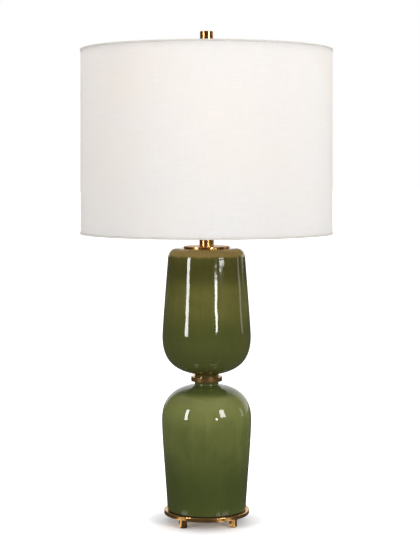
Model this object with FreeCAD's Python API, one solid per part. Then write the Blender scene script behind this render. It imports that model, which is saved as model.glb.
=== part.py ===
"""Ceramic table lamp: two stacked glazed jars on a footed brass disc, under a drum shade.

Everything is in millimetres. The origin is on the table top, under the lamp's axis, and +Z is up.
The switch knob points along -Y, which is the lamp's front, and the harp lies in the XZ plane.
The pieces are stacked upwards on one threaded pipe, so each height is worked out from the one below.
"""

import FreeCAD, Part
import math
import os

# ---------------------------------------------------------------- clearances
SLIP_GAP = 0.10            # radial, between fixed round pieces that slip into each other
RUN_GAP = 0.08             # radial, between a turning shaft and its bearing
LOOSE_GAP = 0.30           # between pieces of different moving bodies
END_GAP = 0.10             # along an axis, at the end of a lap or a contact

# ---------------------------------------------------------------- feet and base disc
FOOT_COUNT = 4
FOOT_R = 6.35
FOOT_HEIGHT = 13.0
FOOT_CIRCLE_R = 53.7
FIRST_FOOT = 180 / FOOT_COUNT
FOOT_EDGE = 0.6
PAD_R = 5.2
PAD_HEIGHT = 1.5
PAD_RECESS = 0.5
FOOT_SCREW_R = 2.0
FOOT_SCREW_HEAD_R = 4.0
FOOT_SCREW_BITE = 7.5      # length of screw inside the foot
FOOT_SCREW_RELIEF = 0.5    # room under the screw's tip

DISC_R = 65.9
DISC_THICKNESS = 6.5
DISC_EDGE = 1.2
DISC_RECESS_R = 16.5       # underside recess for the nut and its washers
DISC_RECESS_DEPTH = 3.0

# ---------------------------------------------------------------- threaded pipe and its nut
PIPE_R = 5.1
PIPE_BORE_R = 3.6
PIPE_BELOW_NUT = 2.2
PIPE_IN_SOCKET_HUB = 4.5
PIPE_HOLE_GAP = 0.3        # radial, around the pipe in plates and rings
BASE_WASHER_R = 14.0
BASE_WASHER_THICKNESS = 1.6
LOCK_WASHER_R = 9.0
LOCK_WASHER_THICKNESS = 1.2
NUT_ACROSS_FLATS = 15.0
NUT_THICKNESS = 4.0

# plastic bushing that guards the cord where it leaves the pipe's lower end
BUSHING_BORE_R = 2.7
BUSHING_FLANGE_R = 7.0
BUSHING_FLANGE_THICKNESS = 1.6
BUSHING_SLEEVE_LENGTH = 5.4
BUSHING_LIP = 0.6

# ---------------------------------------------------------------- lower jar
JAR_WALL = 6.0
NECK_R = 18.3
NECK_HOLE_R = 12.0
GASKET_THICKNESS = 0.8
GASKET_INSET = 0.7         # how far a gasket stays back from the edges of its seat
PLATE_THICKNESS = 2.0      # stamped plates that centre the jars on the pipe
PLATE_GAP = 1.0            # radial, between a centring plate and its jar
JAR_RIM_EDGE = 1.2

LOWER_FOOT_R = 60.85
LOWER_BELLY_R = 69.15
LOWER_BELLY_RISE = 139.9   # belly above the jar's foot
LOWER_HEIGHT = 193.1       # where the shoulder meets the neck, above the jar's foot
LOWER_NECK_SLOPE = 7.2     # degrees, shoulder to horizontal at the neck
LOWER_NECK_FILLET = 2.5
LOWER_NECK_PULL = 34.5     # lengths of the curve handles
LOWER_SHOULDER_PULL = 28.4
LOWER_BELLY_PULL = 28.3
LOWER_FOOT_PULL = 50.2
LOWER_FOOT_LEAN = 2.75     # how far the wall leans out over the foot handle
LOWER_NECK_HEIGHT = 7.0    # from the shoulder's start to the top of the neck

# ---------------------------------------------------------------- waist ring
RING_R = 24.0
RING_HEIGHT = 7.0
RING_EDGE = 0.5
RING_REGISTER = 0.6        # depth the jar necks sit inside the ring
RING_REGISTER_GAP = 0.3

# ---------------------------------------------------------------- upper jar
UPPER_NECK_HEIGHT = 5.3    # from the bottom of the neck to the bowl's start
UPPER_NECK_SLOPE = 14.2
UPPER_NECK_FILLET = 4.0
UPPER_NECK_PULL = 23.4
UPPER_BOWL_PULL = 42.4
UPPER_BELLY_R = 68.2
UPPER_BELLY_RISE = 57.4    # belly above the bowl's start
UPPER_BELLY_PULL = 12.3
UPPER_SHOULDER_R = 59.2
UPPER_SHOULDER_LEAN = 1.45
UPPER_SHOULDER_PULL = 19.7
UPPER_SHOULDER_RISE = 180.4
UPPER_EDGE_R = 12.8        # rounding between the wall and the flat top
UPPER_TOP_HOLE_R = 20.0

# ---------------------------------------------------------------- cap disc and neck tube
CAP_R = 35.3
CAP_THICKNESS = 3.3
CAP_EDGE = 0.5
SPIGOT_HEIGHT = 2.0
NECK_TUBE_R = 11.1
NECK_TUBE_WALL = 1.5
NECK_TUBE_HEIGHT = 51.5
LOCKNUT_THICKNESS = 2.5

# ---------------------------------------------------------------- harp
SADDLE_THICKNESS = 1.6
SADDLE_WIDTH = 12.0
SADDLE_BEND_R = 4.0
SADDLE_LUG_HEIGHT = 13.0
HARP_HEIGHT = 229.0        # saddle to shade seat
HARP_WIRE_R = 2.4
HARP_FOOT_X = 28.5
HARP_BULGE_X = 56.0
HARP_TOP_X = 24.0
HARP_FIRST_CORNER = 11.0   # bow's first corner point, above the lifted ferrules
HARP_BULGE_LOW = 118.0     # heights above the saddle of the next corner points
HARP_BULGE_HIGH = 193.0
HARP_BEND_RADII = (40.0, 60.0, 38.0, 26.0)
LAP_LENGTH = 12.0          # half-lap between the saddle post and the harp's leg
POST_SHOULDER = 4.0        # full-round post between the lug and the lap
FERRULE_R = 3.6
FERRULE_LENGTH = 20.0
FERRULE_TRAVEL = 16.0      # how far a ferrule lifts, clear of the lap

STUD_R = 3.17
STUD_LENGTH = 14.3         # above the seat
STUD_BLOCK_R = 5.5
STUD_BLOCK_ABOVE = 1.2     # block above and below the bow's wire
STUD_BLOCK_BELOW = 2.0
SEAT_R = 9.5
SEAT_THICKNESS = 2.0

# ---------------------------------------------------------------- shade
SHADE_BOTTOM_R = 192.5
SHADE_TAPER = 2.0          # how much narrower the top is, in radius
SHADE_HEIGHT = 278.8
SHADE_RIM_ABOVE_SEAT = 12.8
FABRIC_THICKNESS = 0.7
LINER_THICKNESS = 0.5
GLUE_GAP = 0.1
SHADE_WIRE_R = 1.6
TRIM_THICKNESS = 0.5
TRIM_OUTER_DROP = 2.6
TRIM_INNER_DROP = 8.0
SEAT_WASHER_R = 9.0
SEAT_WASHER_THICKNESS = 1.0
HUB_R = 13.0
HUB_THICKNESS = 2.4
HUB_EDGE = 0.4
SPIDER_ARMS = 3
SPIDER_ARM_R = 1.8
SPIDER_WELD_GAP = 0.05     # between an arm's ends and the hub and ring that it is brazed to
SPIDER_FIRST_ARM = 90.0    # degrees from +X

# ---------------------------------------------------------------- finial
FINIAL_R = 10.1
FINIAL_HEIGHT = 26.2
FINIAL_EDGE = 0.9
FINIAL_FLANGE_R = 7.5
FINIAL_FLANGE_THICKNESS = 2.5
FINIAL_SHANK_R = 5.6
FINIAL_BASE_HEIGHT = 11.0

# ---------------------------------------------------------------- lamp socket
SOCKET_HUB_R = 8.0
SOCKET_HUB_HEIGHT = 5.0
SOCKET_CAP_RISE = 9.0      # hub foot to the cap's straight wall
SOCKET_CAP_HEIGHT = 18.0
SOCKET_CAP_BEND = 3.0
SHEET_BRASS = 0.6
SOCKET_SHELL_R = 15.8
SOCKET_SHELL_HEIGHT = 43.5
SHELL_BEAD = 0.5           # how far the rim's bead stands out
SHELL_BEAD_HEIGHT = 1.5
LINER_CARD = 1.0
LINER_RISE = 1.0           # liner above the shell's foot, and the body above the liner's
BODY_RISE = 1.5
LINER_PROUD = 2.0
SCREW_SHELL_R = 13.65
SCREW_SHELL_WALL = 0.4
SCREW_SHELL_HEIGHT = 19.5
SOCKET_BODY_HEIGHT = 23.0
SOCKET_BODY_R = 13.2
SOCKET_FLANGE_HEIGHT = 4.0
TERMINAL_FLAT = 8.5        # distance of the terminal flats from the axis
TERMINAL_FLAT_HEIGHT = 12.0
TERMINAL_HEAD_R = 3.0
TERMINAL_HEAD_THICKNESS = 2.4
TERMINAL_SHANK_R = 1.5
TERMINAL_SHANK_LENGTH = 3.0
TERMINAL_RISE = 4.0        # screws above the body's foot
TERMINAL_SLOT_WIDTH = 0.8
TERMINAL_SLOT_DEPTH = 0.5
CONTACT_THICKNESS = 0.5
CONTACT_WIDTH = 5.0
CONTACT_LENGTH = 8.0
CONTACT_RISE = 2.7

# ---------------------------------------------------------------- turn switch
SWITCH_ABOVE_BODY_FOOT = 10.0
SPINDLE_R = 1.6
ROTOR_R = 4.4
ROTOR_LENGTH = 12.0
ROTOR_CAVITY_R = 5.0
ROTOR_NOTCHES = 4
ROTOR_NOTCH_R = 1.2
SPINDLE_WINDOW_R = 3.2
KNOB_R = 7.0
KNOB_LENGTH = 13.0
KNOB_STANDOFF = 2.0        # from the socket cap's side
KNOB_FLUTES = 12
KNOB_FLUTE_R = 1.1
KNOB_SOCKET_DEPTH = 9.0

# ---------------------------------------------------------------- bulb
BULB_CAP_R = 13.05
BULB_CAP_WALL = 0.6
BULB_CAP_HEIGHT = 20.0
BULB_TIP_R = 4.8
BULB_TIP_HEIGHT = 1.7
BULB_INSULATOR_HEIGHT = 6.0
INSULATOR_LAND = 0.5       # of the insulator, around the contact
BULB_CAP_ABOVE_TIP = 4.7
BULB_GLASS_R = 30.0
BULB_LENGTH = 110.0
BULB_GLASS_WALL = 0.8
BULB_NECK_R = 12.3
BULB_NECK_IN_CAP = 12.0
BULB_FLARE_ANGLE = 30.0    # degrees below the equator where neck meets globe
BULB_NECK_PULL = 17.0
BULB_FLARE_PULL = 14.0
STEM_FOOT_R = 11.1
STEM_WAIST_R = 3.6
STEM_FLARE_HEIGHT = 10.0
STEM_HEIGHT = 34.0
FILAMENT_WIRE_R = 0.4
FILAMENT_SPAN = 12.0       # half the width between the lead wires' tops
FILAMENT_RISE = 22.0
LEAD_SPREAD = 1.8
LEAD_BEND_R = 2.0

# ---------------------------------------------------------------- heights, from the table upwards
FOOT_Z = PAD_HEIGHT - PAD_RECESS
DISC_Z = FOOT_Z + FOOT_HEIGHT
DISC_TOP = DISC_Z + DISC_THICKNESS
LOWER_Z = DISC_TOP + GASKET_THICKNESS
LOWER_TOP = LOWER_Z + LOWER_HEIGHT + LOWER_NECK_HEIGHT
RING_Z = LOWER_TOP - RING_REGISTER
RING_TOP = RING_Z + RING_HEIGHT
UPPER_Z = RING_TOP - RING_REGISTER
BOWL_Z = UPPER_Z + UPPER_NECK_HEIGHT
UPPER_EDGE_Z = BOWL_Z + UPPER_SHOULDER_RISE
UPPER_TOP = UPPER_EDGE_Z + UPPER_EDGE_R
CAP_TOP = UPPER_TOP + CAP_THICKNESS
NECK_TOP = CAP_TOP + NECK_TUBE_HEIGHT
LOCKNUT_Z = NECK_TOP + PLATE_THICKNESS
SADDLE_Z = LOCKNUT_Z + LOCKNUT_THICKNESS
SOCKET_Z = SADDLE_Z + SADDLE_THICKNESS
LUG_TOP = SADDLE_Z + SADDLE_LUG_HEIGHT
SEAT_Z = SADDLE_Z + HARP_HEIGHT
HARP_WIRE_TOP = SEAT_Z - SEAT_THICKNESS - STUD_BLOCK_ABOVE - HARP_WIRE_R
HARP_LEG_TOP = LUG_TOP + FERRULE_LENGTH + FERRULE_TRAVEL + HARP_FIRST_CORNER

NUT_Z = DISC_Z + DISC_RECESS_DEPTH - BASE_WASHER_THICKNESS - LOCK_WASHER_THICKNESS - NUT_THICKNESS
PIPE_Z = NUT_Z - PIPE_BELOW_NUT
PIPE_TOP = SOCKET_Z + PIPE_IN_SOCKET_HUB
PIPE_HOLE_R = PIPE_R + PIPE_HOLE_GAP

SHELL_Z = SOCKET_Z + SOCKET_CAP_RISE + SOCKET_CAP_BEND
LINER_Z = SHELL_Z + LINER_RISE
BODY_Z = LINER_Z + BODY_RISE
BODY_TOP = BODY_Z + SOCKET_BODY_HEIGHT
SWITCH_Z = BODY_Z + SWITCH_ABOVE_BODY_FOOT
SOCKET_CAP_R = SOCKET_SHELL_R + SLIP_GAP + SHEET_BRASS
LINER_R = SOCKET_SHELL_R - SHEET_BRASS - SLIP_GAP
FLANGE_R = LINER_R - LINER_CARD - SLIP_GAP
BULB_Z = BODY_TOP + CONTACT_RISE + END_GAP

WASHER_TOP = SEAT_Z + SEAT_WASHER_THICKNESS
HUB_TOP = WASHER_TOP + HUB_THICKNESS
FINIAL_Z = HUB_TOP + FINIAL_BASE_HEIGHT
STUD_HOLE_R = STUD_R + RUN_GAP
SHADE_TOP = SEAT_Z + SHADE_RIM_ABOVE_SEAT
SHADE_Z = SHADE_TOP - SHADE_HEIGHT

AXIS = FreeCAD.Vector(0, 0, 1)
ORIGIN = FreeCAD.Vector(0, 0, 0)


# ---------------------------------------------------------------- drawing helpers
def at(r, z):
    """A point of a turned outline: radius and height, drawn in the XZ plane."""
    return FreeCAD.Vector(r, 0, z)


def line(a, b):
    return Part.LineSegment(a, b).toShape()


def bezier(*poles):
    curve = Part.BezierCurve()
    curve.setPoles(list(poles))
    return curve.toShape()


def rounded_chain(points, radii, closed):
    """Straight edges through the points, with a tangent arc at each corner that has a radius."""
    count = len(points)
    starts = list(points)
    ends = list(points)
    arcs = [None] * count
    for i in range(count):
        radius = radii.get(i, 0)
        if radius and (closed or 0 < i < count - 1):
            before = (points[i - 1] - points[i]).normalize()
            after = (points[(i + 1) % count] - points[i]).normalize()
            half = before.getAngle(after) / 2
            reach = radius / math.tan(half)
            inward = (before + after).normalize()
            centre = points[i] + inward * (radius / math.sin(half))
            starts[i] = points[i] + before * reach
            ends[i] = points[i] + after * reach
            arcs[i] = Part.Arc(starts[i], centre - inward * radius, ends[i]).toShape()
    edges = []
    for i in range(count if closed else count - 1):
        j = (i + 1) % count
        if arcs[i] and (closed or i > 0):
            edges.append(arcs[i])
        if (starts[j] - ends[i]).Length > 1e-6:
            edges.append(line(ends[i], starts[j]))
    return edges


def revolve(edges):
    """The solid that a closed outline in the XZ plane makes when turned about the lamp's axis."""
    face = Part.Face(Part.Wire(edges))
    return face.revolve(ORIGIN, AXIS, 360)


def turned(outline, radii=None):
    """A turned solid from (radius, height) corners, and a rounding for the corners that have one."""
    points = [at(r, z) for r, z in outline]
    return revolve(rounded_chain(points, radii or {}, True))


def ring(inner, outer, z, height, edge=0):
    """A washer or sleeve. edge rounds its two outer corners."""
    outline = [(inner, z), (outer, z), (outer, z + height), (inner, z + height)]
    return turned(outline, {1: edge, 2: edge} if edge else None)


def drum(r, z, height):
    return Part.makeCylinder(r, height, at(0, z))


def hex_nut(across_flats, hole_r, z, height):
    corner_r = across_flats / math.sqrt(3)
    corners = [FreeCAD.Vector(corner_r * math.cos(math.radians(a)), corner_r * math.sin(math.radians(a)), z)
               for a in range(0, 360, 60)]
    prism = Part.Face(Part.makePolygon(corners + corners[:1])).extrude(AXIS * height)
    return prism.cut(drum(hole_r, z - 1, height + 2))


def around(shape, count, radius, first_angle):
    """Copies of a shape, moved out to a circle and spread evenly round the lamp's axis."""
    copies = []
    for i in range(count):
        copy = shape.copy()
        copy.translate(FreeCAD.Vector(radius, 0, 0))
        copy.rotate(ORIGIN, AXIS, first_angle + i * 360 / count)
        copies.append(copy)
    return copies


def rod(path, r):
    """A round wire swept along a chain of edges."""
    wire = Part.Wire(path)
    start = wire.OrderedEdges[0]
    heading = start.tangentAt(start.FirstParameter)
    section = Part.Wire([Part.Circle(start.valueAt(start.FirstParameter), heading, r).toShape()])
    return wire.makePipeShell([section], True, True)


def along_y(r, y, length, z):
    """A round bar along Y whose front end is at y."""
    return Part.makeCylinder(r, length, FreeCAD.Vector(0, y, z), FreeCAD.Vector(0, 1, 0))


# ---------------------------------------------------------------- feet and base
def feet():
    foot = turned([(0, FOOT_Z), (FOOT_R, FOOT_Z), (FOOT_R, DISC_Z), (0, DISC_Z)], {1: FOOT_EDGE})
    foot = foot.cut(drum(PAD_R + SLIP_GAP, FOOT_Z - 1, PAD_RECESS + 1))
    bore = FOOT_SCREW_BITE + FOOT_SCREW_RELIEF
    foot = foot.cut(drum(FOOT_SCREW_R + SLIP_GAP, DISC_Z - bore, bore + 1))
    return around(foot, FOOT_COUNT, FOOT_CIRCLE_R, FIRST_FOOT)


def foot_pads():
    return around(drum(PAD_R, 0, PAD_HEIGHT), FOOT_COUNT, FOOT_CIRCLE_R, FIRST_FOOT)


def countersunk_screw(gap):
    """A screw whose flat head is flush with the disc's top; gap widens it into its own hole."""
    head = FOOT_SCREW_HEAD_R - FOOT_SCREW_R
    tip = DISC_Z - FOOT_SCREW_BITE
    return turned([(0, tip), (FOOT_SCREW_R + gap, tip), (FOOT_SCREW_R + gap, DISC_TOP - head),
                   (FOOT_SCREW_HEAD_R + gap, DISC_TOP), (0, DISC_TOP)])


def foot_screws():
    return around(countersunk_screw(0), FOOT_COUNT, FOOT_CIRCLE_R, FIRST_FOOT)


def base_disc():
    disc = turned([(PIPE_HOLE_R, DISC_Z + DISC_RECESS_DEPTH), (DISC_RECESS_R, DISC_Z + DISC_RECESS_DEPTH),
                   (DISC_RECESS_R, DISC_Z), (DISC_R, DISC_Z), (DISC_R, DISC_TOP), (PIPE_HOLE_R, DISC_TOP)],
                  {3: DISC_EDGE, 4: DISC_EDGE})
    for hole in around(countersunk_screw(SLIP_GAP), FOOT_COUNT, FOOT_CIRCLE_R, FIRST_FOOT):
        disc = disc.cut(hole)
    return disc


def base_washer():
    z = DISC_Z + DISC_RECESS_DEPTH - BASE_WASHER_THICKNESS
    return ring(PIPE_HOLE_R, BASE_WASHER_R, z, BASE_WASHER_THICKNESS, 0.3)


def lock_washer():
    """A split spring washer, closed flat by the nut."""
    washer = ring(PIPE_HOLE_R, LOCK_WASHER_R, NUT_Z + NUT_THICKNESS, LOCK_WASHER_THICKNESS)
    slit = Part.makeBox(LOCK_WASHER_R + 1, 0.6, NUT_THICKNESS, at(0, NUT_Z + NUT_THICKNESS - 1))
    return washer.cut(slit)


def base_nut():
    return hex_nut(NUT_ACROSS_FLATS, PIPE_R + SLIP_GAP, NUT_Z, NUT_THICKNESS)


def cord_bushing():
    sleeve_r = PIPE_BORE_R - SLIP_GAP
    foot = PIPE_Z - BUSHING_FLANGE_THICKNESS
    return turned([(BUSHING_BORE_R, foot), (BUSHING_FLANGE_R, foot), (BUSHING_FLANGE_R, PIPE_Z),
                   (sleeve_r, PIPE_Z), (sleeve_r, PIPE_Z + BUSHING_SLEEVE_LENGTH),
                   (BUSHING_BORE_R, PIPE_Z + BUSHING_SLEEVE_LENGTH)], {1: BUSHING_LIP, 2: BUSHING_LIP})


def threaded_pipe():
    return ring(PIPE_BORE_R, PIPE_R, PIPE_Z, PIPE_TOP - PIPE_Z)


# ---------------------------------------------------------------- ceramic jars
def neck_and_shoulder(level, way, slope, fillet, pull, belly_r, belly_z, belly_pull, neck_end):
    """Outer edges from the end of a jar's neck to its belly.

    level is where the shoulder starts, and way is +1 for a neck on top, -1 for one underneath.
    """
    lean = math.radians(slope)
    out = at(math.cos(lean), -way * math.sin(lean))
    start = at(NECK_R + fillet * (1 - math.sin(lean)), level)
    centre = at(NECK_R + fillet, level + way * fillet * math.cos(lean))
    turn = (math.pi / 2 + lean) / 2
    middle = centre + at(-math.cos(math.pi / 2 - turn), -way * math.sin(math.pi / 2 - turn)) * fillet
    neck = at(NECK_R, centre.z)
    belly = at(belly_r, belly_z)
    shoulder = bezier(start, start + out * pull, belly + at(0, way * belly_pull), belly)
    return [line(at(NECK_R, neck_end), neck), Part.Arc(neck, middle, start).toShape(), shoulder]


def inner_shoulder(level, way, slope, pull, belly_r, belly_z, belly_pull):
    """The inner face of the same shoulder, one wall thickness in, from the neck's hole to the belly."""
    lean = math.radians(slope)
    out = at(math.cos(lean), -way * math.sin(lean))
    drop = JAR_WALL / math.cos(lean) - (NECK_R - NECK_HOLE_R) * math.tan(lean)
    start = at(NECK_HOLE_R, level - way * drop)
    reach = pull + (NECK_R - NECK_HOLE_R) / math.cos(lean)
    return start, bezier(start, start + out * reach, at(belly_r - JAR_WALL, belly_z + way * belly_pull),
                         at(belly_r - JAR_WALL, belly_z))


def lower_jar():
    """Shouldered jar, open underneath, with its neck on top."""
    belly_z = LOWER_Z + LOWER_BELLY_RISE
    shoulder_z = LOWER_Z + LOWER_HEIGHT
    outer = neck_and_shoulder(shoulder_z, 1, LOWER_NECK_SLOPE, LOWER_NECK_FILLET, LOWER_NECK_PULL,
                              LOWER_BELLY_R, belly_z, LOWER_SHOULDER_PULL, LOWER_TOP)
    hole, shoulder = inner_shoulder(shoulder_z, 1, LOWER_NECK_SLOPE, LOWER_NECK_PULL,
                                    LOWER_BELLY_R, belly_z, LOWER_SHOULDER_PULL)
    foot_lean = at(LOWER_FOOT_R + LOWER_FOOT_LEAN, LOWER_Z + LOWER_FOOT_PULL)
    inset = at(JAR_WALL, 0)
    foot = at(LOWER_FOOT_R, LOWER_Z + JAR_RIM_EDGE)
    inner_foot = at(LOWER_FOOT_R - JAR_WALL, LOWER_Z)
    rim = at(LOWER_FOOT_R - JAR_RIM_EDGE, LOWER_Z)
    edge_mid = at(LOWER_FOOT_R - JAR_RIM_EDGE * (1 - math.sqrt(0.5)),
                  LOWER_Z + JAR_RIM_EDGE * (1 - math.sqrt(0.5)))
    belly = at(LOWER_BELLY_R, belly_z)
    belly_pull = at(LOWER_BELLY_R, belly_z - LOWER_BELLY_PULL)
    outer.append(bezier(belly, belly_pull, foot_lean, foot))
    outer.append(Part.Arc(foot, edge_mid, rim).toShape())
    outer.append(line(rim, inner_foot))
    outer.append(bezier(inner_foot, foot_lean - inset, belly_pull - inset, belly - inset))
    outer.append(shoulder)
    outer.append(line(hole, at(NECK_HOLE_R, LOWER_TOP)))
    outer.append(line(at(NECK_HOLE_R, LOWER_TOP), at(NECK_R, LOWER_TOP)))
    return revolve(outer)


def upper_jar():
    """Tall jar with its neck underneath, widest low down, and a flat top with a rounded edge."""
    belly_z = BOWL_Z + UPPER_BELLY_RISE
    outer = neck_and_shoulder(BOWL_Z, -1, UPPER_NECK_SLOPE, UPPER_NECK_FILLET, UPPER_NECK_PULL,
                              UPPER_BELLY_R, belly_z, UPPER_BOWL_PULL, UPPER_Z)
    hole, bowl = inner_shoulder(BOWL_Z, -1, UPPER_NECK_SLOPE, UPPER_NECK_PULL,
                                UPPER_BELLY_R, belly_z, UPPER_BOWL_PULL)
    inset = at(JAR_WALL, 0)
    belly = at(UPPER_BELLY_R, belly_z)
    belly_pull = at(UPPER_BELLY_R, belly_z + UPPER_BELLY_PULL)
    lean = at(UPPER_SHOULDER_R + UPPER_SHOULDER_LEAN, UPPER_EDGE_Z - UPPER_SHOULDER_PULL)
    edge = at(UPPER_SHOULDER_R, UPPER_EDGE_Z)
    outer.append(bezier(belly, belly_pull, lean, edge))
    outer += top_edge(UPPER_SHOULDER_R, UPPER_EDGE_Z, UPPER_EDGE_R)
    inner_top = UPPER_TOP - JAR_WALL
    outer.append(line(at(UPPER_SHOULDER_R - UPPER_EDGE_R, UPPER_TOP), at(UPPER_TOP_HOLE_R, UPPER_TOP)))
    outer.append(line(at(UPPER_TOP_HOLE_R, UPPER_TOP), at(UPPER_TOP_HOLE_R, inner_top)))
    outer.append(line(at(UPPER_TOP_HOLE_R, inner_top), at(UPPER_SHOULDER_R - UPPER_EDGE_R, inner_top)))
    outer += top_edge(UPPER_SHOULDER_R - JAR_WALL, UPPER_EDGE_Z, UPPER_EDGE_R - JAR_WALL)
    outer.append(bezier(edge - inset, lean - inset, belly_pull - inset, belly - inset))
    outer.append(bowl)
    outer.append(line(hole, at(NECK_HOLE_R, UPPER_Z)))
    outer.append(line(at(NECK_HOLE_R, UPPER_Z), at(NECK_R, UPPER_Z)))
    return revolve(Part.__sortEdges__(outer))


def top_edge(wall_r, z, radius):
    """The rounded edge between a jar's wall and its flat top. It leaves the wall along its slope."""
    slope = UPPER_SHOULDER_LEAN / UPPER_SHOULDER_PULL
    handle = radius * 0.55
    return [bezier(at(wall_r, z), at(wall_r - slope * handle, z + handle),
                   at(wall_r - radius + handle, z + radius), at(wall_r - radius, z + radius))]


def base_gasket():
    return ring(LOWER_FOOT_R - JAR_WALL + GASKET_INSET, LOWER_FOOT_R - JAR_RIM_EDGE - GASKET_INSET,
                DISC_TOP, GASKET_THICKNESS)


def lower_centring_plate():
    return ring(PIPE_HOLE_R, LOWER_FOOT_R - JAR_WALL - PLATE_GAP, DISC_TOP, PLATE_THICKNESS)


def waist_ring():
    """Brass collar between the jars, with a register on each side for a gasket and a jar's neck."""
    register_r = NECK_R + RING_REGISTER_GAP
    depth = RING_REGISTER + GASKET_THICKNESS
    return turned([(PIPE_HOLE_R, RING_Z + depth), (register_r, RING_Z + depth), (register_r, RING_Z),
                   (RING_R, RING_Z), (RING_R, RING_TOP), (register_r, RING_TOP),
                   (register_r, RING_TOP - depth), (PIPE_HOLE_R, RING_TOP - depth)],
                  {3: RING_EDGE, 4: RING_EDGE})


def neck_gasket(z):
    return ring(NECK_HOLE_R + GASKET_INSET, NECK_R - GASKET_INSET, z, GASKET_THICKNESS)


def neck_gaskets():
    return [neck_gasket(LOWER_TOP), neck_gasket(UPPER_Z - GASKET_THICKNESS)]


# ---------------------------------------------------------------- cap and neck tube
def cap_disc():
    """Brass disc on the upper jar: a locating step below, a spigot for the neck tube above."""
    step_r = UPPER_TOP_HOLE_R - PLATE_GAP
    spigot_r = NECK_TUBE_R - NECK_TUBE_WALL - SLIP_GAP
    return turned([(PIPE_HOLE_R, UPPER_TOP - SPIGOT_HEIGHT), (step_r, UPPER_TOP - SPIGOT_HEIGHT),
                   (step_r, UPPER_TOP), (CAP_R, UPPER_TOP), (CAP_R, CAP_TOP), (spigot_r, CAP_TOP),
                   (spigot_r, CAP_TOP + SPIGOT_HEIGHT), (PIPE_HOLE_R, CAP_TOP + SPIGOT_HEIGHT)],
                  {3: CAP_EDGE, 4: CAP_EDGE})


def neck_tube():
    return ring(NECK_TUBE_R - NECK_TUBE_WALL, NECK_TUBE_R, CAP_TOP, NECK_TUBE_HEIGHT)


def neck_top_ring():
    """Turned ring that closes the neck tube's top and centres it on the pipe."""
    spigot_r = NECK_TUBE_R - NECK_TUBE_WALL - SLIP_GAP
    return turned([(PIPE_HOLE_R, NECK_TOP - SPIGOT_HEIGHT), (spigot_r, NECK_TOP - SPIGOT_HEIGHT),
                   (spigot_r, NECK_TOP), (NECK_TUBE_R, NECK_TOP), (NECK_TUBE_R, LOCKNUT_Z),
                   (PIPE_HOLE_R, LOCKNUT_Z)], {4: 0.4})


def neck_locknut():
    return hex_nut(NUT_ACROSS_FLATS, PIPE_R + SLIP_GAP, LOCKNUT_Z, LOCKNUT_THICKNESS)


# ---------------------------------------------------------------- harp
def saddle_strap():
    """The bent strap under the socket, drawn as a band in the XZ plane."""
    middle = SADDLE_Z + SADDLE_THICKNESS / 2
    path = rounded_chain([at(-HARP_FOOT_X, LUG_TOP), at(-HARP_FOOT_X, middle), at(HARP_FOOT_X, middle),
                          at(HARP_FOOT_X, LUG_TOP)], {1: SADDLE_BEND_R, 2: SADDLE_BEND_R}, False)
    half = SADDLE_THICKNESS / 2
    section = Part.makePolygon([FreeCAD.Vector(-HARP_FOOT_X + x * half, y * SADDLE_WIDTH / 2, LUG_TOP)
                                for x, y in ((-1, -1), (1, -1), (1, 1), (-1, 1), (-1, -1))])
    return Part.Wire(path).makePipeShell([section], True, True)


def lap_cut(side, z, half):
    """Box that removes the inner (half = -1) or outer (half = +1) side of a leg over the lap."""
    width = HARP_WIRE_R + 1
    x = side * HARP_FOOT_X + (0 if half * side > 0 else -width)
    return Part.makeBox(width, 2 * width, LAP_LENGTH + END_GAP, FreeCAD.Vector(x, -width, z))


def harp_saddle():
    saddle = saddle_strap()
    for side in (-1, 1):
        foot = FreeCAD.Vector(side * HARP_FOOT_X, 0, SADDLE_Z + SADDLE_BEND_R)
        post = Part.makeCylinder(HARP_WIRE_R, LUG_TOP + POST_SHOULDER + LAP_LENGTH - foot.z, foot)
        post = post.cut(lap_cut(side, LUG_TOP + POST_SHOULDER, 1))
        saddle = saddle.fuse(post)
    saddle = saddle.cut(drum(PIPE_HOLE_R, SADDLE_Z - 1, SADDLE_THICKNESS + 2))
    return saddle.removeSplitter()


def harp_bow():
    """Spring wire bow. Each leg ends in the outer half of a lap that lies beside its saddle post."""
    foot_z = LUG_TOP + POST_SHOULDER + END_GAP
    corners = [(HARP_FOOT_X, foot_z), (HARP_FOOT_X, HARP_LEG_TOP),
               (HARP_BULGE_X, SADDLE_Z + HARP_BULGE_LOW), (HARP_BULGE_X, SADDLE_Z + HARP_BULGE_HIGH),
               (HARP_TOP_X, HARP_WIRE_TOP)]
    points = [at(-x, z) for x, z in corners] + [at(x, z) for x, z in reversed(corners)]
    last = len(points) - 1
    radii = {}
    for i, radius in enumerate(HARP_BEND_RADII):
        radii[i + 1] = radius
        radii[last - i - 1] = radius
    bow = rod(rounded_chain(points, radii, False), HARP_WIRE_R)
    for side in (-1, 1):
        cut = lap_cut(side, foot_z - END_GAP, -1)
        cut.translate(FreeCAD.Vector(side * END_GAP / 2, 0, END_GAP))
        bow = bow.cut(cut)
    return bow


def harp_stud():
    """Swivel block on the bow's top, with the shade seat and the threaded stud above it."""
    foot = HARP_WIRE_TOP - HARP_WIRE_R - STUD_BLOCK_BELOW
    stud = turned([(0, foot), (STUD_BLOCK_R, foot), (STUD_BLOCK_R, SEAT_Z - SEAT_THICKNESS),
                   (SEAT_R, SEAT_Z - SEAT_THICKNESS), (SEAT_R, SEAT_Z), (STUD_R, SEAT_Z),
                   (STUD_R, SEAT_Z + STUD_LENGTH), (0, SEAT_Z + STUD_LENGTH)], {1: 1.0, 4: 0.4, 6: 0.6})
    tunnel = Part.makeCylinder(HARP_WIRE_R + SLIP_GAP, 2 * SEAT_R, at(-SEAT_R, HARP_WIRE_TOP),
                               FreeCAD.Vector(1, 0, 0))
    return stud.cut(tunnel)


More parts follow.
